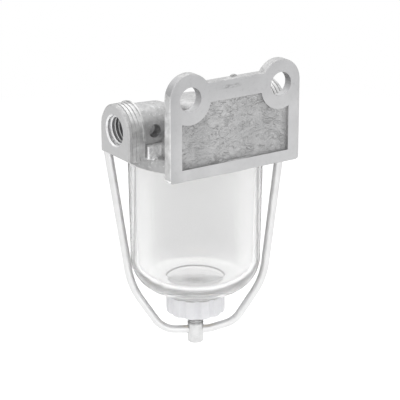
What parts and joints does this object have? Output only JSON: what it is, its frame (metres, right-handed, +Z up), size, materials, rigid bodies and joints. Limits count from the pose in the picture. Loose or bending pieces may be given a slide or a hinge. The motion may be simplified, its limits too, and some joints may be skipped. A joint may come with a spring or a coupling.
{
  "type": "fuel water separator",
  "caption": "Die-cast head with two side ports and a wall plate, carrying a round glass bowl held up by a swinging wire bail, clamp screw and thumb nut.",
  "frame": {"origin": "midway between the two mounting holes, on the mounting face that lies against the wall", "axes": "+X from the left port to the right port as seen from the wall side, +Y away from the wall towards the bowl, +Z up"},
  "size_m": [0.0894, 0.0678, 0.1464],
  "materials": {
    "cast_alloy": "die-cast, fine sandy grain",
    "bowl_glass": "clear pressed glass",
    "bail_steel": "bright zinc plate on drawn wire",
    "screw_steel": "zinc plate, turned",
    "nut_moulding": "white moulding, slight sheen",
    "insert_brass": "turned",
    "washer_steel": "turned",
    "gasket_rubber": "flat black",
    "strainer_brass": "woven gauze in a pressed frame"
  },
  "bodies": {
    "head": {"head_casting": "cast_alloy", "strainer_frame": "strainer_brass", "strainer_gauze": "strainer_brass", "bowl_gasket": "gasket_rubber", "glass_bowl": "bowl_glass"},
    "bail": {"bail_wire": "bail_steel"},
    "screw": {"clamp_screw": "screw_steel"},
    "washer": {"thrust_washer": "washer_steel"},
    "nut": {"thumb_nut": "nut_moulding", "nut_insert": "insert_brass"}
  },
  "joints": [
    {"name": "bail_swing", "type": "hinge", "parent": "head", "child": "bail", "pos_m": [0, 0.0338, -0.0283], "axis": [0.866, -0.5, 0], "range_deg": [0, 50]},
    {"name": "stem_swivel", "type": "hinge", "parent": "bail", "child": "screw", "pos_m": [0, 0.0338, -0.1283], "axis": [0.866, -0.5, 0], "range_deg": [-3.5, 3.5]},
    {"name": "nut_travel", "type": "slide", "parent": "screw", "child": "washer", "axis": [0, 0, 1], "range_m": [-0.00375, 0.00125]},
    {"name": "nut_turn", "type": "hinge", "parent": "washer", "child": "nut", "pos_m": [0, 0.0338, -0.1132], "axis": [0, 0, 1], "range_deg": [-1080.5, 360.5]}
  ],
  "couplings": [
    {"joint": "nut_turn", "follows": "nut_travel", "rad_per_m": 5026.5}
  ]
}
